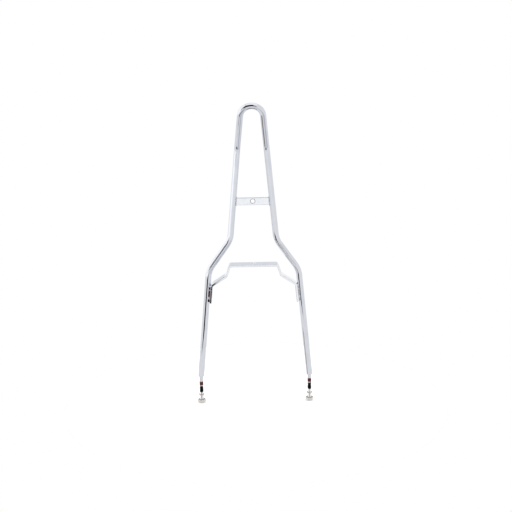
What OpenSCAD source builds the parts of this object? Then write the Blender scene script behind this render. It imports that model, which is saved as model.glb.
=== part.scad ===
/* [Round bar hoop] */
// Diameter of the solid round bar
bar_d = 12.7; // [11:0.1:15]
// Distance between the two bar centres at the leg ends
foot_spacing = 230.6; // [216:0.2:250]
// Distance between the two bar centres at the lower bends
lower_spacing = 187; // [180:0.5:205]
// Distance between the two bar centres at the shoulder bends
shoulder_spacing = 95; // [90:0.5:104]
// Distance between the two bar centres at the kick
kick_spacing = 59.6; // [57:0.2:66]
// How far the leg ends hang below the underside of the fender strap
leg_drop = 238.9; // [180:0.5:320]
// How far the lower bends sit below the underside of the fender strap
lower_drop = 9; // [4:0.5:14]
// Height of the shoulder bends above the underside of the fender strap
shoulder_height = 55; // [50:0.5:70]
// Height of the kick above the underside of the fender strap
kick_height = 243.8; // [210:0.5:300]
// Length of the leaned top section, from the kick to the crown of the loop
loop_rise = 93.2; // [85:0.5:110]
// Angle by which the top section leans forward at the kick
kick_angle = 20; // [12:0.5:28]
// Centreline radius of the lower and the shoulder bends
side_bend_r = 50; // [40:1:60]
// Centreline radius of the kick
kick_bend_r = 55; // [28:1:60]

/* [Cross plate] */
// Height of the cross plate
plate_h = 16; // [14:0.5:24]
// Thickness of the cross plate
plate_t = 4.8; // [4:0.1:6]
// Height of the cross plate's centre above the underside of the fender strap
plate_height = 135.8; // [110:0.5:200]
// Rounding along the long edges of the cross plate
plate_edge_r = 1.2; // [0.8:0.1:1.6]
// Diameter of the pad bolt hole in the cross plate
pad_hole_d = 8.7; // [6:0.1:9]

/* [Fender strap] */
// Width of the flat bar of the fender strap
strap_w = 25.4; // [20:0.2:32]
// Thickness of the flat bar of the fender strap
strap_t = 4.8; // [4:0.1:6]
// Distance between the outer faces at the top corners of the strap
saddle_w = 106; // [100:0.5:112]
// Distance between the strap's centrelines at the foot of the two risers
riser_foot_w = 114.4; // [110:0.2:122]
// How far the foot of a riser sits below the strap's underside
riser_drop = 19.8; // [16:0.2:26]
// How far the bend at the top of a tab sits below the strap's underside
tab_top_drop = 38.4; // [35:0.2:46]
// How far the end of a tab sits below the strap's underside
tab_end_drop = 75.6; // [70:0.2:90]
// Centreline radius of the strap's bends
strap_bend_r = 6; // [4:0.5:8]
// Diameter of the fender bolt hole in the strap
fender_hole_d = 8.7; // [6:0.1:12]

/* [Foot studs] */
// Major diameter of the threaded foot stud
stud_d = 7.94; // [6:0.02:8.4]
// Depth of the stud's seat inside the leg end
seat_depth = 14; // [10:0.5:20]
// Radial clearance of the stud in its seat
seat_gap = 0.05; // [0.02:0.01:0.2]
// Distance from the leg end to the middle of the stud's relief groove
groove_drop = 24; // [16:0.5:30]
// Width of the relief groove
groove_w = 1.4; // [1:0.1:2]
// Depth of the relief groove
groove_depth = 0.7; // [0.4:0.1:1]
// Distance from the leg end to the top of the stop collar
collar_drop = 40.2; // [36:0.2:60]
// Outside diameter of the stop collar
collar_d = 11.2; // [10.4:0.1:14]
// Thickness of the stop collar
collar_t = 2.6; // [2:0.1:4]
// Radial clearance of the stop collar on the stud
collar_gap = 0.05; // [0.02:0.01:0.2]
// Space left between the stop collar and the nut for the frame lug
clamp_gap = 8.8; // [6:0.1:12]
// Distance across the flats of the foot nut
nut_flats = 14.3; // [13:0.1:17]
// Thickness of the foot nut
nut_t = 6.2; // [5:0.1:8]
// Corner chamfer of the foot nut
nut_chamfer = 0.9; // [0.6:0.1:1.2]
// Radial clearance between the stud and the nut's bore
thread_gap = 0.08; // [0.05:0.01:0.2]
// Length of stud that stands out below the nut
stud_tail = 1.6; // [1.2:0.1:6]
// Chamfer on the stud's tip
tip_chamfer = 0.9; // [0.6:0.1:1]

/* [Welds] */
// Radius of the weld bead around each end of the cross plate
plate_bead_r = 2; // [1.6:0.1:2.6]
// Radius of the weld beads between the legs and the strap's tabs
strap_bead_r = 2.6; // [2.2:0.1:3]
// Distance of the strap beads from the plane of the legs
strap_bead_y = 5.6; // [5:0.1:6]
// Radius of the weld bead around each stud at the leg end
stud_bead_r = 1.5; // [1.2:0.1:1.8]

/* [Hidden] */
$fn = 64;
bar_r = bar_d / 2;
stud_r = stud_d / 2;
cut = 40;
// A bend stands this much proud of its straight runs, and they run this far into it.
proud = 0.02;
lap = 0.1;

// Upper bars: their lean inward, and the loop that closes them.
upper_lean = atan((shoulder_spacing - kick_spacing) / 2 / (kick_height - shoulder_height));
loop_r = (kick_spacing / 2 - tan(upper_lean) * loop_rise) * cos(upper_lean) / (1 - sin(upper_lean));
loop_centre = loop_rise - loop_r;

// Legs: their splay, and a point and the inward normal of the right leg.
leg_splay = atan((foot_spacing - lower_spacing) / 2 / (leg_drop - lower_drop));
leg_down = [sin(leg_splay), 0, -cos(leg_splay)];
leg_inward = [-cos(leg_splay), 0, -sin(leg_splay)];

function unit(v) = v / norm(v);

// A point of the right leg's axis, at one depth below the strap's underside.
function leg_at(drop) = [lower_spacing / 2 + (drop - lower_drop) * tan(leg_splay), 0, -drop];

// A point of the right upper bar's axis, at one height above the strap's underside.
function upper_at(h) = [kick_spacing / 2 + (kick_height - h) * tan(upper_lean), 0, h];

// A point of the leaned section, from its distance off centre and up the lean.
function leaned(x, s) = [x, -s * sin(kick_angle), kick_height + s * cos(kick_angle)];

// The pose whose z axis runs along d, with its y axis as near to +Y as it gets.
function pose(o, x, y, z) = [
    [x[0], y[0], z[0], o[0]],
    [x[1], y[1], z[1], o[1]],
    [x[2], y[2], z[2], o[2]],
    [0, 0, 0, 1]
];
function side_of(d) = abs(d[1]) > 0.999 ? [1, 0, 0] : unit(cross([0, 1, 0], d));
function along(o, d) = let (x = side_of(d)) pose(o, x, cross(d, x), d);

// The angle turned at one corner of a path, and the length its bend takes off each side.
function turn(p, i) = acos(unit(p[i] - p[i - 1]) * unit(p[i + 1] - p[i]));
function setback(p, i, r) = (i == 0 || i == len(p) - 1) ? 0 : r[i - 1] * tan(turn(p, i) / 2);

hoop_path = [
    leg_at(leg_drop),
    leg_at(lower_drop),
    upper_at(shoulder_height),
    upper_at(kick_height),
    leaned(loop_r * cos(upper_lean) - lap * sin(upper_lean), loop_centre + loop_r * sin(upper_lean) + lap)
];
hoop_bends = [side_bend_r, side_bend_r, kick_bend_r];

// Right half of the strap's centreline: crown, riser, slope and tab.
tab_offset = leg_inward * (bar_r + strap_t / 2);
riser_lean = atan((riser_foot_w - saddle_w + strap_t) / 2 / (riser_drop + strap_t / 2));
strap_path = [
    [-lap, 0, strap_t / 2],
    [saddle_w / 2 - strap_t / 2 * (1 + sin(riser_lean)) / cos(riser_lean), 0, strap_t / 2],
    [riser_foot_w / 2, 0, -riser_drop],
    leg_at(tab_top_drop) + tab_offset,
    leg_at(tab_end_drop) + tab_offset
];
strap_bends = [strap_bend_r, strap_bend_r, strap_bend_r];

// Heights along the foot stud.
collar_top = -leg_drop - collar_drop;
nut_top = collar_top - collar_t - clamp_gap;
stud_end = nut_top - nut_t - stud_tail;
stud_x = foot_spacing / 2;

chrome_colour = [0.86, 0.87, 0.9];
zinc_colour = [0.72, 0.72, 0.71];
weld_colour = [0.62, 0.6, 0.62];

// One bend of a path, in the plane of its two directions.
module bend(corner, d_in, d_out, r) {
    angle = acos(d_in * d_out);
    inward = unit(d_out - d_in * (d_out * d_in));
    start = corner - d_in * r * tan(angle / 2);
    multmatrix(pose(start + inward * r, -inward, d_in, cross(-inward, d_in)))
        rotate_extrude(angle = angle)
            translate([r, 0])
                children();
}

// A path of straight runs and round bends. The first child is the profile of the runs, the second of the bends.
module bent(p, r) {
    last = len(p) - 1;
    for (i = [0 : last - 1]) {
        d = unit(p[i + 1] - p[i]);
        a = p[i] + d * (setback(p, i, r) - (i == 0 ? 0 : lap));
        b = p[i + 1] - d * (setback(p, i + 1, r) - (i == last - 1 ? 0 : lap));
        multmatrix(along(a, d))
            linear_extrude(height = norm(b - a))
                children(0);
    }
    for (i = [1 : last - 1]) {
        bend(p[i], unit(p[i] - p[i - 1]), unit(p[i + 1] - p[i]), r[i - 1])
            children(1);
    }
}

// A straight round rod between two points, run past both ends by extra.
module rod(a, b, r, extra = 0) {
    d = unit(b - a);
    multmatrix(along(a - d * extra, d))
        cylinder(r = r, h = norm(b - a) + 2 * extra);
}

// A weld bead that follows a chain of points, round at each of them.
module bead(p, r, closed = false) {
    for (i = [0 : len(p) - (closed ? 1 : 2)]) {
        rod(p[i], p[(i + 1) % len(p)], r);
    }
    for (q = p) {
        translate(q)
            sphere(r = r + 2 * proud);
    }
}

module mirrored(left) {
    if (left) {
        mirror([1, 0, 0])
            children();
    } else {
        children();
    }
}

module stud_seat() {
    translate([stud_x, 0, -leg_drop - cut])
        cylinder(r = stud_r + seat_gap, h = cut + seat_depth);
}

module hoop_half() {
    difference() {
        bent(hoop_path, hoop_bends) {
            circle(r = bar_r);
            circle(r = bar_r + proud);
        }
        stud_seat();
    }
}

module hoop() {
    color(chrome_colour)
        union() {
            hoop_half();
            mirror([1, 0, 0])
                hoop_half();
            translate([0, 0, kick_height])
                rotate([90 + kick_angle, 0, 0])
                    translate([0, loop_centre, 0])
                        rotate([0, 0, upper_lean])
                            rotate_extrude(angle = 180 - 2 * upper_lean)
                                translate([loop_r, 0])
                                    circle(r = bar_r + proud);
        }
}

// The section of the cross plate, as a flat bar with rounded edges.
module plate_section() {
    union() {
        square([plate_h - 2 * plate_edge_r, plate_t], center = true);
        square([plate_h, plate_t - 2 * plate_edge_r], center = true);
        for (x = [-1, 1], y = [-1, 1]) {
            translate([x * (plate_h / 2 - plate_edge_r), y * (plate_t / 2 - plate_edge_r)])
                circle(r = plate_edge_r);
        }
    }
}

// The two upper bars where the cross plate meets them.
module upper_bars() {
    for (left = [false, true]) {
        mirrored(left)
            rod(upper_at(plate_height - plate_h), upper_at(plate_height + plate_h), bar_r);
    }
}

module plate_blank() {
    half = upper_at(plate_height)[0];
    translate([-half, 0, plate_height])
        rotate([0, 90, 0])
            linear_extrude(height = 2 * half)
                plate_section();
}

module cross_plate() {
    color(chrome_colour)
        difference() {
            plate_blank();
            upper_bars();
            translate([0, plate_t, plate_height])
                rotate([90, 0, 0])
                    cylinder(d = pad_hole_d, h = 2 * plate_t);
        }
}

module fender_strap() {
    color(chrome_colour)
        difference() {
            union() {
                for (left = [false, true]) {
                    mirrored(left)
                        bent(strap_path, strap_bends) {
                            square([strap_t, strap_w], center = true);
                            square([strap_t + 2 * proud, strap_w + 2 * proud], center = true);
                        }
                }
            }
            translate([0, 0, -strap_t])
                cylinder(d = fender_hole_d, h = 3 * strap_t);
        }
}

module stud(left) {
    groove_z = -leg_drop - groove_drop;
    color(zinc_colour)
        mirrored(left)
            translate([stud_x, 0, 0])
                difference() {
                    rotate_extrude()
                        polygon([
                            [0, stud_end],
                            [stud_r - tip_chamfer, stud_end],
                            [stud_r, stud_end + tip_chamfer],
                            [stud_r, groove_z - groove_w / 2 - groove_depth],
                            [stud_r - groove_depth, groove_z - groove_w / 2],
                            [stud_r - groove_depth, groove_z + groove_w / 2],
                            [stud_r, groove_z + groove_w / 2 + groove_depth],
                            [stud_r, seat_depth - leg_drop - seat_gap],
                            [0, seat_depth - leg_drop - seat_gap]
                        ]);
                }
}

module stop_collar(left) {
    edge = 0.4;
    bore_r = stud_r + collar_gap;
    color(zinc_colour)
        mirrored(left)
            translate([stud_x, 0, collar_top - collar_t])
                rotate_extrude()
                    polygon([
                        [bore_r, 0],
                        [collar_d / 2 - edge, 0],
                        [collar_d / 2, edge],
                        [collar_d / 2, collar_t - edge],
                        [collar_d / 2 - edge, collar_t],
                        [bore_r, collar_t]
                    ]);
}

module nut(left) {
    corner_r = nut_flats / 2 / cos(30);
    face_r = corner_r - nut_chamfer;
    rise = nut_chamfer * tan(30);
    color(zinc_colour)
        mirrored(left)
            translate([stud_x, 0, nut_top - nut_t])
                difference() {
                    intersection() {
                        cylinder(r = corner_r, h = nut_t, $fn = 6);
                        rotate_extrude()
                            polygon([
                                [0, 0],
                                [face_r, 0],
                                [corner_r, rise],
                                [corner_r, nut_t - rise],
                                [face_r, nut_t],
                                [0, nut_t]
                            ]);
                    }
                    translate([0, 0, -nut_t])
                        cylinder(r = stud_r + thread_gap, h = 3 * nut_t);
                }
}

// The bead that runs around one end of the cross plate, along the bar.
module plate_weld(left) {
    root = sqrt(pow(bar_r, 2) - pow(plate_t / 2, 2));
    top = plate_height + plate_h / 2;
    bottom = plate_height - plate_h / 2;
    corners = [
        for (c = [[bottom, -1], [top, -1], [top, 1], [bottom, 1]])
            upper_at(c[0]) + [-root / cos(upper_lean), c[1] * plate_t / 2, 0]
    ];
    color(weld_colour)
        mirrored(left)
            difference() {
                difference() {
                    bead(corners, plate_bead_r, closed = true);
                    rod(upper_at(bottom - cut), upper_at(top + cut), bar_r);
                }
                plate_blank();
            }
}

// One bead in the notch between the leg and the strap's tab; side is -1 in front, 1 behind.
module strap_weld(left, side) {
    first = tab_top_drop + 3;
    last = tab_end_drop - strap_bead_r;
    offset_in = leg_inward * (bar_r - 1) + [0, side * strap_bead_y, 0];
    tab_mid = (leg_at(tab_top_drop) + leg_at(tab_end_drop)) / 2 + tab_offset;
    color(weld_colour)
        mirrored(left)
            difference() {
                difference() {
                    bead([leg_at(first) + offset_in, leg_at(last) + offset_in], strap_bead_r);
                    rod(leg_at(first), leg_at(last), bar_r, cut);
                }
                multmatrix(along(tab_mid - leg_down * cut, leg_down))
                    linear_extrude(height = 2 * cut)
                        square([strap_t, strap_w], center = true);
            }
}

// The bead around the stud, under the leg end.
module stud_weld(left) {
    color(weld_colour)
        mirrored(left)
            difference() {
                translate([stud_x, 0, -leg_drop])
                    rotate_extrude()
                        translate([stud_r + 0.3, 0])
                            circle(r = stud_bead_r);
                rod(leg_at(leg_drop - cut), leg_at(leg_drop), bar_r);
                translate([stud_x, 0, -leg_drop - cut])
                    cylinder(r = stud_r, h = 2 * cut);
            }
}

module left_stud() { stud(true); }
module right_stud() { stud(false); }
module left_stop_collar() { stop_collar(true); }
module right_stop_collar() { stop_collar(false); }
module left_nut() { nut(true); }
module right_nut() { nut(false); }
module left_plate_weld() { plate_weld(true); }
module right_plate_weld() { plate_weld(false); }
module left_front_strap_weld() { strap_weld(true, -1); }
module left_rear_strap_weld() { strap_weld(true, 1); }
module right_front_strap_weld() { strap_weld(false, -1); }
module right_rear_strap_weld() { strap_weld(false, 1); }
module left_stud_weld() { stud_weld(true); }
module right_stud_weld() { stud_weld(false); }

hoop();
cross_plate();
fender_strap();
left_stud();
right_stud();
left_stop_collar();
right_stop_collar();
left_nut();
right_nut();
left_plate_weld();
right_plate_weld();
left_front_strap_weld();
left_rear_strap_weld();
right_front_strap_weld();
right_rear_strap_weld();
left_stud_weld();
right_stud_weld();
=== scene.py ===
import math

import bmesh
import bpy
from mathutils import Matrix, Vector, noise


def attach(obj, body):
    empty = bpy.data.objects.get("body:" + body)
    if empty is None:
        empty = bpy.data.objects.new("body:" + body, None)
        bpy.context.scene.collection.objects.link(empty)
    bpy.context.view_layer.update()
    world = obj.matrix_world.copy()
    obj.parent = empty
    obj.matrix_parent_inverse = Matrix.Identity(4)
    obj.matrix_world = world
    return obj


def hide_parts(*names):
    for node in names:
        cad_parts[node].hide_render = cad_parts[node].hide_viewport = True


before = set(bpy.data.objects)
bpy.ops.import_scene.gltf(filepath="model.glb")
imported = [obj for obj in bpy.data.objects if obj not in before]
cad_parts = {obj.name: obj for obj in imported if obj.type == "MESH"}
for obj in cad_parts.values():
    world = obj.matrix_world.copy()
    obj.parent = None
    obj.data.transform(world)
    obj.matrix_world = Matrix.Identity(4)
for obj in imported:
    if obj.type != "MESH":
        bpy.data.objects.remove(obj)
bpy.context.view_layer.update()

MM = 0.001
ORIGIN = Vector((0, 0, 0))
AXIS_X = Vector((1, 0, 0))
AXIS_Y = Vector((0, 1, 0))
AXIS_Z = Vector((0, 0, 1))

# Round bar hoop, in millimetres, as in the part's source.
BAR_R = 6.35
FOOT_HALF = 115.3
LOWER_HALF = 93.5
SHOULDER_HALF = 47.5
KICK_HALF = 29.8
LEG_DROP = 238.9
LOWER_DROP = 9.0
SHOULDER_HEIGHT = 55.0
KICK_HEIGHT = 243.8
LOOP_RISE = 93.2
KICK_ANGLE = math.radians(20)
SIDE_BEND_R = 50.0
KICK_BEND_R = 55.0

# Cross plate.
PLATE_H = 16.0
PLATE_T = 4.8
PLATE_HEIGHT = 135.8
PLATE_EDGE_R = 1.2
HOLE_R = 4.35

# Fender strap.
STRAP_W = 25.4
STRAP_T = 4.8
STRAP_EDGE_R = 0.9
FLAT_EDGE = 0.25
SADDLE_W = 106.0
RISER_FOOT_W = 114.4
RISER_DROP = 19.8
TAB_TOP_DROP = 38.4
TAB_END_DROP = 75.6
STRAP_BEND_R = 6.0

# Foot studs.
STUD_R = 3.97
SEAT_DEPTH = 14.0
GROOVE_DROP = 24.0
GROOVE_W = 1.4
GROOVE_DEPTH = 0.7
COLLAR_DROP = 40.2
COLLAR_R = 5.6
COLLAR_T = 2.6
CLAMP_GAP = 8.8
NUT_FLATS = 14.3
NUT_T = 6.2
NUT_CHAMFER = 0.9
STUD_TAIL = 1.6
TIP_CHAMFER = 0.9
THREAD_PITCH = 1.41
THREAD_DEPTH = 0.62
SEAT_GAP = 0.05
COLLAR_GAP = 0.05
THREAD_GAP = 0.08

# Welds.
PLATE_BEAD_R = 2.0
STRAP_BEAD_R = 2.6
STRAP_BEAD_Y = 5.6
STUD_BEAD_R = 1.5

UPPER_TAN = (SHOULDER_HALF - KICK_HALF) / (KICK_HEIGHT - SHOULDER_HEIGHT)
UPPER_LEAN = math.atan(UPPER_TAN)
LEG_TAN = (FOOT_HALF - LOWER_HALF) / (LEG_DROP - LOWER_DROP)
LEG_SPLAY = math.atan(LEG_TAN)
LOOP_R = (KICK_HALF - UPPER_TAN * LOOP_RISE) * math.cos(UPPER_LEAN) / (1 - math.sin(UPPER_LEAN))
LOOP_CENTRE = LOOP_RISE - LOOP_R
LEG_INWARD = Vector((-math.cos(LEG_SPLAY), 0, -math.sin(LEG_SPLAY)))
COLLAR_TOP = -LEG_DROP - COLLAR_DROP
NUT_TOP = COLLAR_TOP - COLLAR_T - CLAMP_GAP
STUD_END = NUT_TOP - NUT_T - STUD_TAIL


def leg_at(drop):
    """A point of the right leg's axis."""
    return Vector((LOWER_HALF + (drop - LOWER_DROP) * LEG_TAN, 0, -drop))


def upper_at(height):
    """A point of the right upper bar's axis."""
    return Vector((KICK_HALF + (KICK_HEIGHT - height) * UPPER_TAN, 0, height))


def leaned(x, rise):
    """A point of the leaned top section."""
    return Vector((x, -rise * math.sin(KICK_ANGLE), KICK_HEIGHT + rise * math.cos(KICK_ANGLE)))


def smoothed_path(corners, radii, run_step, bend_steps):
    """Points along straight runs and round bends."""
    points = [corners[0]]
    for i in range(1, len(corners) - 1):
        d_in = (corners[i] - corners[i - 1]).normalized()
        d_out = (corners[i + 1] - corners[i]).normalized()
        angle = d_in.angle(d_out)
        r = radii[i - 1]
        start = corners[i] - d_in * r * math.tan(angle / 2)
        inward = (d_out - d_in * d_in.dot(d_out)).normalized()
        centre = start + inward * r
        add_run(points, start, run_step)
        for k in range(1, bend_steps + 1):
            a = angle * k / bend_steps
            points.append(centre + (d_in * math.sin(a) - inward * math.cos(a)) * r)
    add_run(points, corners[-1], run_step)
    return points


def add_run(points, end, step):
    """Adds a straight run, in equal steps, to the end of points."""
    start = points[-1]
    count = max(1, round((end - start).length / step))
    for k in range(1, count + 1):
        points.append(start.lerp(end, k / count))


def mesh_object(name, verts, faces, slot, smooth_angle=40):
    """A piece from points in millimetres."""
    mesh = bpy.data.meshes.new(name)
    mesh.from_pydata([v * MM for v in verts], [], faces)
    mesh.validate()
    piece = bpy.data.objects.new(name, mesh)
    bpy.context.scene.collection.objects.link(piece)
    finish_mesh(piece, slot, smooth_angle)
    return piece


def finish_mesh(piece, slot, smooth_angle=40):
    """Outward normals, soft shading up to an angle and the material of a piece."""
    bm = bmesh.new()
    bm.from_mesh(piece.data)
    bmesh.ops.recalc_face_normals(bm, faces=bm.faces)
    bm.to_mesh(piece.data)
    bm.free()
    piece.data.shade_smooth()
    piece.data.set_sharp_from_angle(angle=math.radians(smooth_angle))
    piece.data.materials.clear()
    piece.data.materials.append(MATERIALS[slot])


def place(piece, node):
    """The piece stands for a CAD node and rides on the one body."""
    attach(piece, "root")
    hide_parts(node)


def side_name(left):
    return "left" if left else "right"


def band(row, count):
    """The faces between one ring of points, which starts at row, and the next ring."""
    return [(row + k, row + (k + 1) % count, row + count + (k + 1) % count, row + count + k)
            for k in range(count)]


def sweep(points, profile, side=None):
    """Sweeps a closed profile of (across, sideways) pairs along points, and caps both ends."""
    verts = []
    faces = []
    n = len(profile)
    across = None
    for i, p in enumerate(points):
        before = points[max(i - 1, 0)]
        after = points[min(i + 1, len(points) - 1)]
        tangent = (after - before).normalized()
        if side is not None:
            across = side.cross(tangent).normalized()
        elif across is None:
            across = AXIS_Y.cross(tangent).normalized()
        else:
            across = (across - tangent * across.dot(tangent)).normalized()
        sideways = tangent.cross(across)
        verts.extend(p + across * u + sideways * v for u, v in profile)
        if i:
            faces.extend(band((i - 1) * n, n))
    faces.append(tuple(range(n)))
    faces.append(tuple(len(verts) - n + k for k in range(n)))
    return verts, faces


def circle(radius, count):
    """Pairs on a circle, evenly spaced."""
    return [(radius * math.cos(2 * math.pi * k / count), radius * math.sin(2 * math.pi * k / count))
            for k in range(count)]


def rounded_rect(width, height, radius, steps=12):
    """A rectangle with rounded corners, as profile points. An extra point keeps each flat's shading flat."""
    points = []
    for sx, sy, start in ((1, 1, 0), (-1, 1, 90), (-1, -1, 180), (1, -1, 270)):
        cx = sx * (width / 2 - radius)
        cy = sy * (height / 2 - radius)
        arc = []
        for k in range(steps + 1):
            a = math.radians(start + 90 * k / steps)
            arc.append((cx + radius * math.cos(a), cy + radius * math.sin(a)))
        if start in (0, 180):
            first = (arc[0][0], arc[0][1] - sy * FLAT_EDGE)
            last = (arc[-1][0] - sx * FLAT_EDGE, arc[-1][1])
        else:
            first = (arc[0][0] - sx * FLAT_EDGE, arc[0][1])
            last = (arc[-1][0], arc[-1][1] - sy * FLAT_EDGE)
        points += [first, *arc, last]
    return points


def lathe(profile, count, centre):
    """Turns (radius, z) pairs about a vertical axis. A pair on the axis closes the shape."""
    verts = []
    faces = []
    for r, z in profile:
        verts.extend(centre + Vector((r * c, r * s, z)) for c, s in circle(1, count))
    for i in range(len(profile) - 1):
        faces.extend(band(i * count, count))
    return verts, faces


def mirrored(verts, left):
    """The left pieces are the right ones with X turned round."""
    return [Vector((-v.x, v.y, v.z)) for v in verts] if left else verts


# Materials.

def node_material(name):
    """A new material, its node tree and its shader."""
    material = bpy.data.materials.new(name)
    material.use_nodes = True
    tree = material.node_tree
    return material, tree, tree.nodes["Principled BSDF"]


def object_place(tree):
    """The place on the piece, in its own coordinates, as separate X, Y and Z."""
    coords = tree.nodes.new("ShaderNodeTexCoord")
    parts = tree.nodes.new("ShaderNodeSeparateXYZ")
    tree.links.new(coords.outputs["Object"], parts.inputs["Vector"])
    return parts.outputs


def add_noise(tree, scale, detail=4.0, roughness=0.55, stretch=(1, 1, 1)):
    """A noise over the piece's own coordinates, stretched by axis."""
    coords = tree.nodes.new("ShaderNodeTexCoord")
    mapping = tree.nodes.new("ShaderNodeMapping")
    mapping.inputs["Scale"].default_value = stretch
    texture = tree.nodes.new("ShaderNodeTexNoise")
    texture.inputs["Scale"].default_value = scale
    texture.inputs["Detail"].default_value = detail
    texture.inputs["Roughness"].default_value = roughness
    tree.links.new(coords.outputs["Object"], mapping.inputs["Vector"])
    tree.links.new(mapping.outputs["Vector"], texture.inputs["Vector"])
    return texture.outputs["Fac"]


def add_ramp(tree, value, stops):
    """A colour ramp over a value."""
    ramp = tree.nodes.new("ShaderNodeValToRGB")
    elements = ramp.color_ramp.elements
    while len(elements) < len(stops):
        elements.new(0.5)
    for element, (position, colour) in zip(elements, stops):
        element.position = position
        element.color = (*colour, 1)
    tree.links.new(value, ramp.inputs["Fac"])
    return ramp.outputs["Color"]


def add_range(tree, value, low, high, out_low, out_high):
    """Maps a value's range to another one, held at its ends."""
    remap = tree.nodes.new("ShaderNodeMapRange")
    remap.inputs["From Min"].default_value = low
    remap.inputs["From Max"].default_value = high
    remap.inputs["To Min"].default_value = out_low
    remap.inputs["To Max"].default_value = out_high
    tree.links.new(value, remap.inputs["Value"])
    return remap.outputs["Result"]


def add_bump(tree, height, strength, distance, under=None):
    """Bumps from a height, on top of the bumps in under."""
    bump = tree.nodes.new("ShaderNodeBump")
    bump.inputs["Strength"].default_value = strength
    bump.inputs["Distance"].default_value = distance
    tree.links.new(height, bump.inputs["Height"])
    if under is not None:
        tree.links.new(under, bump.inputs["Normal"])
    return bump.outputs["Normal"]


def metal(name, tones, tone_scale, rough, waves, scratches, scratch_stretch, shade=None):
    """Plated metal: mottled tone, uneven polish, long waves from the polishing wheel and fine scratches."""
    material, tree, shader = node_material(name)
    shader.inputs["Metallic"].default_value = 1
    tone = add_ramp(tree, add_noise(tree, tone_scale, 3), tones)
    # Where given, shade multiplies painted shade into the tone.
    if shade is not None:
        tone = multiplied(tree, tone, shade(tree))
    tree.links.new(tone, shader.inputs["Base Color"])
    polish = add_noise(tree, 260, 5, 0.6)
    tree.links.new(add_range(tree, polish, 0.35, 0.7, *rough), shader.inputs["Roughness"])
    wave_scale, wave_height = waves
    long_waves = add_noise(tree, wave_scale, 2, 0.4)
    fine = add_noise(tree, 900, 3, 0.6, scratch_stretch)
    normal = add_bump(tree, long_waves, 0.6, wave_height)
    normal = add_bump(tree, fine, scratches, 0.00002, normal)
    tree.links.new(normal, shader.inputs["Normal"])
    return material


def multiplied(tree, colour, factor):
    """A colour times another one."""
    mix = tree.nodes.new("ShaderNodeMix")
    mix.data_type = "RGBA"
    mix.blend_type = "MULTIPLY"
    mix.inputs[0].default_value = 1
    tree.links.new(colour, mix.inputs[6])
    tree.links.new(factor, mix.inputs[7])
    return mix.outputs[2]


def painted_hole_shade(tree):
    """Painted shade: the broken edge and the wall of the plate's hole are coloured much darker than its face.
    """
    coords = tree.nodes.new("ShaderNodeTexCoord")
    from_centre = tree.nodes.new("ShaderNodeVectorMath")
    from_centre.operation = "SUBTRACT"
    from_centre.inputs[1].default_value = (0, 0, PLATE_HEIGHT * MM)
    tree.links.new(coords.outputs["Object"], from_centre.inputs[0])
    across = tree.nodes.new("ShaderNodeVectorMath")
    across.operation = "MULTIPLY"
    across.inputs[1].default_value = (1, 0, 1)
    tree.links.new(from_centre.outputs["Vector"], across.inputs[0])
    length = tree.nodes.new("ShaderNodeVectorMath")
    length.operation = "LENGTH"
    tree.links.new(across.outputs["Vector"], length.inputs[0])
    rim = (HOLE_R + 0.45) * MM
    edge = add_range(tree, length.outputs["Value"], rim * 0.98, rim * 1.02, 0, 1)
    return add_ramp(tree, edge, [(0, (0.16, 0.15, 0.17)), (1, (1, 1, 1))])


def painted_top_shade(tree):
    """Painted shade: faces that look up are coloured darker than the flats."""
    geometry = tree.nodes.new("ShaderNodeNewGeometry")
    parts = tree.nodes.new("ShaderNodeSeparateXYZ")
    tree.links.new(geometry.outputs["True Normal"], parts.inputs["Vector"])
    return add_ramp(tree, parts.outputs["Z"], [(0.4, (1, 1, 1)), (0.8, (0.5, 0.5, 0.53))])


def weld_material(name):
    """Plated weld: rough ripples. Beside the strap's tabs it has near-black and dark red patches, most on the
    left.
    """
    material, tree, shader = node_material(name)
    shader.inputs["Metallic"].default_value = 1
    spot = object_place(tree)
    along = add_range(tree, spot["Z"], -TAB_TOP_DROP * MM, -TAB_END_DROP * MM, 0, 1)
    plated = (0.7, 0.71, 0.75)
    near_black = (0.03, 0.01, 0.015)
    dark_red = (0.13, 0.03, 0.03)
    patches = [(0.1, plated), (0.15, near_black), (0.24, near_black), (0.29, plated), (0.34, dark_red), (0.66, dark_red),
               (0.71, plated), (0.79, plated), (0.84, near_black), (0.97, near_black), (1, plated)]
    tint = add_ramp(tree, along, patches)
    side = add_range(tree, spot["X"], -0.05, 0.05, 1, 0.35)
    mix = tree.nodes.new("ShaderNodeMix")
    mix.data_type = "RGBA"
    tree.links.new(side, mix.inputs[0])
    mix.inputs[6].default_value = (*plated, 1)
    tree.links.new(tint, mix.inputs[7])
    tree.links.new(mix.outputs[2], shader.inputs["Base Color"])
    polish = add_noise(tree, 500, 4)
    tree.links.new(add_range(tree, polish, 0.3, 0.7, 0.1, 0.3), shader.inputs["Roughness"])
    ripple = add_noise(tree, 700, 4)
    tree.links.new(add_bump(tree, ripple, 0.3, 0.0001), shader.inputs["Normal"])
    return material


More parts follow.
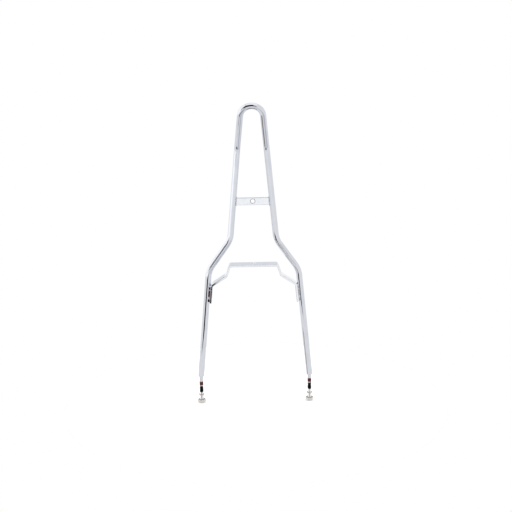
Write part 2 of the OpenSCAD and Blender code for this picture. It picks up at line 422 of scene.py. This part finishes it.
def stud_material(name):
    """Plated stud with painted reflections: a dark red band below the bar's end and a black band on the
    thread above the collar stand in for dark things the chrome mirrors.
    """
    material, tree, shader = node_material(name)
    shader.inputs["Metallic"].default_value = 1
    spot = object_place(tree)
    uneven = tree.nodes.new("ShaderNodeMath")
    uneven.operation = "MULTIPLY_ADD"
    tree.links.new(add_noise(tree, 300, 3), uneven.inputs[0])
    uneven.inputs[1].default_value = 0.003
    # Shifting by X sets the bands up to 2.8 mm higher on the right stud, as painted reflections that differ
    # by side.
    lowered = tree.nodes.new("ShaderNodeMath")
    lowered.operation = "SUBTRACT"
    tree.links.new(spot["Z"], lowered.inputs[0])
    tree.links.new(add_range(tree, spot["X"], -0.01, 0.01, 0, 0.0028), lowered.inputs[1])
    tree.links.new(lowered.outputs["Value"], uneven.inputs[2])
    top = -LEG_DROP * MM
    bottom = COLLAR_TOP * MM
    along = add_range(tree, uneven.outputs["Value"], top, bottom, 0, 1)
    plated = (0.66, 0.66, 0.7)
    # The dark red and black tones are painted reflections of dark things the chrome mirrors.
    dark_red = (0.12, 0.035, 0.03)
    painted_black_reflection = (0.015, 0.012, 0.016)
    bare = (0.9, 0.9, 0.9)
    tones = [(0.05, plated), (0.24, plated), (0.29, dark_red), (0.45, dark_red), (0.47, plated),
             (0.49, plated), (0.52, painted_black_reflection), (0.84, painted_black_reflection), (0.87, bare), (1, bare)]
    tree.links.new(add_ramp(tree, along, tones), shader.inputs["Base Color"])
    polish = add_noise(tree, 500, 4)
    tree.links.new(add_range(tree, polish, 0.3, 0.7, 0.1, 0.24), shader.inputs["Roughness"])
    fine = add_noise(tree, 900, 3, 0.6, (1, 1, 0.3))
    tree.links.new(add_bump(tree, fine, 0.2, 0.00002), shader.inputs["Normal"])
    return material


MATERIALS = {
    "bar_chrome": metal(
        "bar_chrome",
        [(0.3, (0.62, 0.64, 0.69)), (0.5, (0.67, 0.685, 0.73)), (0.7, (0.63, 0.65, 0.7))],
        35, (0.006, 0.025), (40, 0.00005), 0.03, (1, 1, 0.12),
    ),
    # Flat chrome, with painted shade in the plate's hole.
    "flat_chrome": metal(
        "flat_chrome",
        [(0.3, (0.77, 0.79, 0.83)), (0.5, (0.82, 0.84, 0.88)), (0.7, (0.76, 0.78, 0.82))],
        60, (0.06, 0.1), (70, 0.00004), 0.02, (0.15, 1, 1), painted_hole_shade,
    ),
    "stud_steel": stud_material("stud_steel"),
    # Zinc hardware, with painted shade on the faces that look up.
    "hardware_zinc": metal(
        "hardware_zinc",
        [(0.3, (0.55, 0.53, 0.5)), (0.5, (0.68, 0.66, 0.62)), (0.7, (0.74, 0.71, 0.67))],
        140, (0.16, 0.34), (200, 0.0002), 0.35, (1, 1, 1), painted_top_shade,
    ),
    "weld_chrome": weld_material("weld_chrome"),
}


# Hoop: one bar from foot to foot.

def hoop_points():
    """The hoop's centre line, from the right foot over the loop to the left foot."""
    right = [leg_at(LEG_DROP), leg_at(LOWER_DROP), upper_at(SHOULDER_HEIGHT), upper_at(KICK_HEIGHT)]
    joint = leaned(LOOP_R * math.cos(UPPER_LEAN), LOOP_CENTRE + LOOP_R * math.sin(UPPER_LEAN))
    half = smoothed_path(right + [joint], [SIDE_BEND_R, SIDE_BEND_R, KICK_BEND_R], 6, 18)
    steps = 60
    sweep_angle = math.pi - 2 * UPPER_LEAN
    loop = []
    for k in range(1, steps):
        a = UPPER_LEAN + sweep_angle * k / steps
        loop.append(leaned(LOOP_R * math.cos(a), LOOP_CENTRE + LOOP_R * math.sin(a)))
    return half + loop + mirrored(half, True)[::-1]


def make_hoop():
    verts, faces = sweep(hoop_points(), circle(BAR_R, 56))
    piece = mesh_object("hoop_bar", verts, faces, "bar_chrome")
    place(piece, "hoop")


def drill(piece, centre, axis, radius, thickness):
    """Cuts a hole with a small chamfer at both of its mouths."""
    flare = 0.9
    past = 3
    half = thickness / 2
    mouth = radius + flare
    profile = [(0, -half - past), (mouth + past, -half - past), (mouth, -half), (radius, -half + flare),
               (radius, half - flare), (mouth, half), (mouth + past, half + past), (0, half + past)]
    verts, faces = lathe(profile, 72, ORIGIN)
    turn = AXIS_Z.rotation_difference(axis).to_matrix()
    cutter = mesh_object("cutter", [turn @ v + centre for v in verts], faces, "flat_chrome")
    bm = bmesh.new()
    bm.from_mesh(cutter.data)
    bmesh.ops.remove_doubles(bm, verts=bm.verts, dist=1e-7)
    bmesh.ops.recalc_face_normals(bm, faces=bm.faces)
    bm.to_mesh(cutter.data)
    bm.free()
    cut = piece.modifiers.new("hole", "BOOLEAN")
    cut.object = cutter
    cut.operation = "DIFFERENCE"
    cut.solver = "EXACT"
    bpy.context.view_layer.update()
    drilled = bpy.data.meshes.new_from_object(piece.evaluated_get(bpy.context.evaluated_depsgraph_get()))
    piece.modifiers.clear()
    piece.data = drilled
    bpy.data.objects.remove(cutter)


def make_cross_plate():
    end_inside_bar = 3.5
    half = upper_at(PLATE_HEIGHT).x - end_inside_bar
    points = [Vector((-half, 0, PLATE_HEIGHT))]
    add_run(points, Vector((half, 0, PLATE_HEIGHT)), 4)
    verts, faces = sweep(points, rounded_rect(PLATE_H, PLATE_T, PLATE_EDGE_R), side=AXIS_Y)
    piece = mesh_object("cross_plate_bar", verts, faces, "flat_chrome", 30)
    drill(piece, Vector((0, 0, PLATE_HEIGHT)), AXIS_Y, HOLE_R, PLATE_T)
    finish_mesh(piece, "flat_chrome", 30)
    place(piece, "cross_plate")


def strap_points():
    """The strap's middle line, from the left tab's end over the crown to the right tab's end."""
    tab_offset = LEG_INWARD * (BAR_R + STRAP_T / 2)
    riser_lean = math.atan((RISER_FOOT_W - SADDLE_W + STRAP_T) / 2 / (RISER_DROP + STRAP_T / 2))
    crown_x = SADDLE_W / 2 - STRAP_T / 2 * (1 + math.sin(riser_lean)) / math.cos(riser_lean)
    corners = [
        Vector((0, 0, STRAP_T / 2)),
        Vector((crown_x, 0, STRAP_T / 2)),
        Vector((RISER_FOOT_W / 2, 0, -RISER_DROP)),
        leg_at(TAB_TOP_DROP) + tab_offset,
        leg_at(TAB_END_DROP) + tab_offset,
    ]
    half = smoothed_path(corners, [STRAP_BEND_R] * 3, 4, 10)
    return mirrored(half, True)[::-1] + half[1:]


def make_fender_strap():
    verts, faces = sweep(strap_points(), rounded_rect(STRAP_T, STRAP_W, STRAP_EDGE_R), side=AXIS_Y)
    piece = mesh_object("fender_strap_bar", verts, faces, "flat_chrome", 30)
    drill(piece, Vector((0, 0, STRAP_T / 2)), AXIS_Z, HOLE_R, STRAP_T)
    finish_mesh(piece, "flat_chrome", 30)
    place(piece, "fender_strap")


# Foot studs, with a cut thread below the relief groove.

def stud_radius(z, angle):
    """The stud's radius at a height and an angle, with the groove, the thread and the tip's chamfer."""
    crest = 0.12
    flank = 0.7
    groove_z = -LEG_DROP - GROOVE_DROP
    off = abs(z - groove_z)
    if off < GROOVE_W / 2:
        return STUD_R - GROOVE_DEPTH
    if off < GROOVE_W / 2 + GROOVE_DEPTH:
        return STUD_R - GROOVE_DEPTH + off - GROOVE_W / 2
    if z > groove_z:
        return STUD_R
    turns = z / THREAD_PITCH - angle / (2 * math.pi)
    phase = abs((turns % 1) * 2 - 1)
    height = min(max((phase - crest) / flank, 0), 1)
    fade = min(1, (groove_z - GROOVE_W / 2 - GROOVE_DEPTH - z) / THREAD_PITCH)
    thread = STUD_R - THREAD_DEPTH * (1 - height) * fade
    tip = STUD_R - TIP_CHAMFER + (z - STUD_END)
    return min(thread, tip)


def make_stud(left):
    count = 40
    groove_z = -LEG_DROP - GROOVE_DROP
    levels = [SEAT_DEPTH - LEG_DROP - SEAT_GAP]
    levels += [-LEG_DROP - 2 * k for k in range(11)]
    levels += [groove_z + s for s in (1.4, 0.7, 0.35, 0, -0.35, -0.7, -1.4)]
    z = levels[-1]
    while z > STUD_END:
        z = max(z - THREAD_PITCH / 10, STUD_END)
        levels.append(z)
    verts = []
    faces = []
    for z in levels:
        for k in range(count):
            a = 2 * math.pi * k / count
            r = stud_radius(z, a)
            verts.append(Vector((FOOT_HALF + r * math.cos(a), r * math.sin(a), z)))
    for i in range(len(levels) - 1):
        faces.extend(band(i * count, count))
    faces.append(tuple(range(count)))
    faces.append(tuple(len(verts) - count + k for k in range(count)))
    side = side_name(left)
    piece = mesh_object(side + "_threaded_stud", mirrored(verts, left), faces, "stud_steel", 50)
    place(piece, side + "_stud")


def make_collar(left):
    """A plain ring with rounded edges."""
    bore = STUD_R + COLLAR_GAP
    bore_edge = 0.2
    edge = 0.5
    z = COLLAR_TOP - COLLAR_T
    profile = [(bore, z + bore_edge), (bore + bore_edge, z), (COLLAR_R - edge, z)]
    profile += [(COLLAR_R - edge + edge * math.sin(a), z + edge - edge * math.cos(a))
                for a in (math.pi / 2 * k / 5 for k in range(1, 6))]
    profile += [(COLLAR_R - edge + edge * math.cos(a), z + COLLAR_T - edge + edge * math.sin(a))
                for a in (math.pi / 2 * k / 5 for k in range(6))]
    profile += [(bore + bore_edge, z + COLLAR_T), (bore, z + COLLAR_T - bore_edge), (bore, z + bore_edge)]
    verts, faces = lathe(profile, 64, Vector((FOOT_HALF, 0, 0)))
    side = side_name(left)
    piece = mesh_object(side + "_collar_ring", mirrored(verts, left), faces, "hardware_zinc", 35)
    place(piece, side + "_stop_collar")


def make_nut(left):
    """A hex nut whose corners are chamfered by a cone, so that each flat ends in an arc."""
    count = 120
    apothem = NUT_FLATS / 2
    corner = apothem / math.cos(math.radians(30))
    face_r = corner - NUT_CHAMFER
    slope = math.tan(math.radians(30))
    bore = STUD_R + THREAD_GAP
    bore_edge = 0.5
    corner_edge = 0.12
    flat_edge = 0.25
    bottom = NUT_TOP - NUT_T
    rings = []
    for k in range(count):
        a = 2 * math.pi * k / count
        off = (math.degrees(a) + 60) % 60 - 30
        flat_r = apothem / math.cos(math.radians(off))
        ring_r = min(face_r, flat_r - flat_edge)
        drop = max(flat_r - face_r, 0) * slope + corner_edge
        rings.append([
            (bore, bottom + bore_edge), (bore + bore_edge, bottom), (ring_r, bottom), (flat_r, bottom + drop),
            (flat_r, NUT_TOP - drop), (ring_r, NUT_TOP), (bore + bore_edge, NUT_TOP),
            (bore, NUT_TOP - bore_edge),
        ])
    verts = []
    for k, ring in enumerate(rings):
        a = 2 * math.pi * k / count
        verts.extend(Vector((FOOT_HALF + r * math.cos(a), r * math.sin(a), z)) for r, z in ring)
    n = len(rings[0])
    faces = []
    for k in range(count):
        a = k * n
        b = ((k + 1) % count) * n
        faces.extend((a + i, b + i, b + (i + 1) % n, a + (i + 1) % n) for i in range(n))
    side = side_name(left)
    piece = mesh_object(side + "_hex_nut", mirrored(verts, left), faces, "hardware_zinc", 28)
    place(piece, side + "_nut")


# Welds: rows of overlapping ripples, melted together.

def ripple_weld(name, node, path, radius, pitch, left, seed):
    """Overlapping uneven drops along a path, remeshed to one bead."""
    bm = bmesh.new()
    lengths = [(b - a).length for a, b in zip(path, path[1:])]
    total = sum(lengths)
    count = max(2, round(total / pitch))
    for k in range(count + 1):
        along = total * k / count
        i = 0
        while i < len(lengths) - 1 and along > lengths[i]:
            along -= lengths[i]
            i += 1
        centre = path[i].lerp(path[i + 1], along / lengths[i])
        wobble = noise.noise(Vector((k * 0.73, seed, 0)))
        size = radius * (0.93 + 0.06 * wobble)
        bmesh.ops.create_icosphere(bm, subdivisions=3, radius=size * MM,
                                   matrix=Matrix.Translation(centre * MM))
    mesh = bpy.data.meshes.new(name)
    bm.to_mesh(mesh)
    bm.free()
    if left:
        mesh.transform(Matrix.Scale(-1, 4, AXIS_X))
    piece = bpy.data.objects.new(name, mesh)
    bpy.context.scene.collection.objects.link(piece)
    melt = piece.modifiers.new("melt", "REMESH")
    melt.mode = "VOXEL"
    melt.voxel_size = 0.22 * MM
    soften = piece.modifiers.new("soften", "SMOOTH")
    soften.factor = 0.5
    soften.iterations = 4
    bpy.context.view_layer.update()
    melted = bpy.data.meshes.new_from_object(piece.evaluated_get(bpy.context.evaluated_depsgraph_get()))
    piece.modifiers.clear()
    piece.data = melted
    finish_mesh(piece, "weld_chrome", 180)
    place(piece, node)


def make_welds(left):
    """The beads of one side: at the plate's end, along both edges of the strap's tab and round the stud."""
    side = side_name(left)
    root = math.sqrt(BAR_R ** 2 - (PLATE_T / 2) ** 2)
    top = PLATE_HEIGHT + PLATE_H / 2
    bottom = PLATE_HEIGHT - PLATE_H / 2
    ring = [
        upper_at(z) + Vector((-root / math.cos(UPPER_LEAN), y * PLATE_T / 2, 0))
        for z, y in ((bottom, -1), (top, -1), (top, 1), (bottom, 1), (bottom, -1))
    ]
    ripple_weld(side + "_plate_bead", side + "_plate_weld", ring, PLATE_BEAD_R, 1.5, left, 3)
    first = TAB_TOP_DROP + 3
    last = TAB_END_DROP - STRAP_BEAD_R
    for place_name, sign in (("front", -1), ("rear", 1)):
        offset = LEG_INWARD * (BAR_R - 1) + Vector((0, sign * STRAP_BEAD_Y, 0))
        path = [leg_at(first) + offset, leg_at(last) + offset]
        node = f"{side}_{place_name}_strap_weld"
        ripple_weld(f"{side}_{place_name}_strap_bead", node, path, STRAP_BEAD_R, 2.6, left, 5 + sign)
    ring_r = STUD_R + 0.3
    ring = [
        Vector((FOOT_HALF + ring_r * c, ring_r * s, -LEG_DROP))
        for c, s in circle(1, 24) + [(1, 0)]
    ]
    ripple_weld(side + "_stud_bead", side + "_stud_weld", ring, STUD_BEAD_R, 1.3, left, 11)


make_hoop()
make_cross_plate()
make_fender_strap()
for is_left in (True, False):
    make_stud(is_left)
    make_collar(is_left)
    make_nut(is_left)
    make_welds(is_left)


# Floor, backdrop and light.

# Metres.
DOME_R = 8.0
FLOOR_R = 0.4

# The camera's place in millimetres, and its lens in pixels of a picture 512 pixels wide.
CAMERA_PLACE = Vector((-30.08, -2015.3, 470.86))
LENS_PIXELS = 995
PICTURE_PIXELS = 512


def world_light():
    """A white surround for what the camera, metal and glass see, and a plain level for all other light."""
    world = bpy.data.worlds.new("studio")
    world.use_nodes = True
    tree = world.node_tree
    tree.nodes.clear()
    output = tree.nodes.new("ShaderNodeOutputWorld")
    white = tree.nodes.new("ShaderNodeBackground")
    white.inputs["Color"].default_value = (1, 1, 1, 1)
    white.inputs["Strength"].default_value = 1
    fill = tree.nodes.new("ShaderNodeBackground")
    fill.inputs["Color"].default_value = (1, 1, 1, 1)
    fill.inputs["Strength"].default_value = 0.85
    path = tree.nodes.new("ShaderNodeLightPath")
    either = tree.nodes.new("ShaderNodeMath")
    either.operation = "MAXIMUM"
    any_of = tree.nodes.new("ShaderNodeMath")
    any_of.operation = "MAXIMUM"
    mix = tree.nodes.new("ShaderNodeMixShader")
    tree.links.new(path.outputs["Is Camera Ray"], either.inputs[0])
    tree.links.new(path.outputs["Is Glossy Ray"], either.inputs[1])
    tree.links.new(either.outputs[0], any_of.inputs[0])
    tree.links.new(path.outputs["Is Transmission Ray"], any_of.inputs[1])
    tree.links.new(any_of.outputs[0], mix.inputs["Fac"])
    tree.links.new(fill.outputs[0], mix.inputs[1])
    tree.links.new(white.outputs[0], mix.inputs[2])
    tree.links.new(mix.outputs[0], output.inputs["Surface"])
    bpy.context.scene.world = world


def floor():
    """A round white floor just under the studs."""
    bm = bmesh.new()
    bmesh.ops.create_circle(bm, cap_ends=True, segments=96, radius=FLOOR_R)
    mesh = bpy.data.meshes.new("floor")
    bm.to_mesh(mesh)
    bm.free()
    obj = bpy.data.objects.new("floor", mesh)
    obj.location = (0, 0, STUD_END * MM - 0.0005)
    obj.visible_glossy = False
    bpy.context.scene.collection.objects.link(obj)
    material, tree, shader = node_material("floor_paper")
    shader.inputs["Base Color"].default_value = (0.97, 0.97, 0.97, 1)
    shader.inputs["Roughness"].default_value = 0.9
    shader.inputs["Specular IOR Level"].default_value = 0.1
    obj.data.materials.append(material)


def glowing(name, verts, faces, colour, strength):
    """A surface that only reflections see."""
    mesh = bpy.data.meshes.new(name)
    mesh.from_pydata(verts, [], faces)
    obj = bpy.data.objects.new(name, mesh)
    bpy.context.scene.collection.objects.link(obj)
    material = bpy.data.materials.new(name)
    material.use_nodes = True
    tree = material.node_tree
    tree.nodes.clear()
    output = tree.nodes.new("ShaderNodeOutputMaterial")
    glow = tree.nodes.new("ShaderNodeEmission")
    glow.inputs["Color"].default_value = (*colour, 1)
    glow.inputs["Strength"].default_value = strength
    tree.links.new(glow.outputs[0], output.inputs["Surface"])
    obj.data.materials.append(material)
    obj.visible_camera = False
    obj.visible_diffuse = False
    obj.visible_shadow = False


def stage_card(name, azimuths, elevations, colour, strength=1.0, radius=DOME_R):
    """A light or dark card on a dome round the part. Azimuth 0 is in front of the part, plus is its right."""
    columns = 12
    rows = 6
    verts = []
    faces = []
    for j in range(rows + 1):
        elevation = math.radians(elevations[0] + (elevations[1] - elevations[0]) * j / rows)
        for i in range(columns + 1):
            azimuth = math.radians(azimuths[0] + (azimuths[1] - azimuths[0]) * i / columns)
            level = math.cos(elevation)
            direction = Vector((math.sin(azimuth) * level, -math.cos(azimuth) * level, math.sin(elevation)))
            verts.append(direction * radius)
    for j in range(rows):
        for i in range(columns):
            a = j * (columns + 1) + i
            faces.append((a, a + 1, a + columns + 2, a + columns + 1))
    glowing(name, verts, faces, colour, strength)


def lamp(name, location, size, power):
    """A soft box that points at the part, and that metal doesn't mirror."""
    light = bpy.data.lights.new(name, "AREA")
    light.shape = "RECTANGLE"
    light.size, light.size_y = size
    light.energy = power
    obj = bpy.data.objects.new(name, light)
    obj.location = location
    obj.rotation_euler = (-Vector(location)).to_track_quat("-Z", "Y").to_euler()
    obj.visible_glossy = False
    bpy.context.scene.collection.objects.link(obj)


def studio():
    """Even soft light, and cards far off that the chrome mirrors."""
    world_light()
    floor()
    lamp("left_box", (-1.9, -1.3, 1.0), (1.4, 1.8), 22)
    lamp("right_box", (1.9, -1.3, 1.0), (1.4, 1.8), 22)
    lamp("top_box", (0, -0.2, 2.2), (1.6, 1.6), 16)
    black = (0.004, 0.002, 0.005)
    white = (1, 1, 1)
    brown = (0.3, 0.25, 0.22)
    stage_card("loop_flag_top", (-46, 4), (6.3, 9.6), black, radius=1.5)
    stage_card("front_flag", (-34, 22), (-3, 14), black)
    stage_card("front_flag_top", (-50, 12), (14, 46), black)
    stage_card("front_flag_left_fade", (-62, -50), (8, 36), (0.4, 0.38, 0.42))
    stage_card("front_flag_right_fade", (12, 22), (14, 36), (0.65, 0.65, 0.72))
    stage_card("back_grey", (140, 220), (4, 28), (0.78, 0.79, 0.83))
    stage_card("white_strip_low", (-110, -36), (-7.6, 0), white, 1.4)
    stage_card("white_strip_front", (-36, 22), (-10.6, -5.5), white, 1.06)
    stage_card("white_strip_left", (-140, -66), (0, 55), white, 1.4)
    stage_card("low_flag", (-46, -6), (-24.5, -11.5), black, radius=1)
    stage_card("brown_under", (-84, -60), (-37, -27), brown, radius=2)
    stage_card("brown_under_front", (-60, -36), (-43, -33), brown, radius=2)
    stage_card("grey_below", (2, 62), (-60, -26), (0.66, 0.67, 0.72))
    stage_card("dark_below", (-180, 180), (-89, -72), (0.06, 0.06, 0.07))
    stage_card("white_above", (-180, 180), (58, 88), white, 1.3)


def camera():
    """The photograph's view: a long lens about two metres away, a little above the part."""
    pitch = math.radians(12.6)
    yaw = math.radians(1.0)
    roll = math.radians(-0.85)
    look = Vector((math.sin(yaw) * math.cos(pitch), math.cos(yaw) * math.cos(pitch), -math.sin(pitch)))
    level = Vector((math.cos(yaw), -math.sin(yaw), 0))
    rise = level.cross(look)
    right = level * math.cos(roll) + rise * math.sin(roll)
    up = rise * math.cos(roll) - level * math.sin(roll)
    data = bpy.data.cameras.new("photo_camera")
    data.sensor_width = 36
    data.lens = LENS_PIXELS * data.sensor_width / PICTURE_PIXELS
    obj = bpy.data.objects.new("photo_camera", data)
    basis = Matrix((right, up, -look)).transposed().to_4x4()
    obj.matrix_world = Matrix.Translation(CAMERA_PLACE * MM) @ basis
    bpy.context.scene.collection.objects.link(obj)
    bpy.context.scene.camera = obj


studio()
camera()
bpy.context.scene.view_settings.view_transform = "Standard"
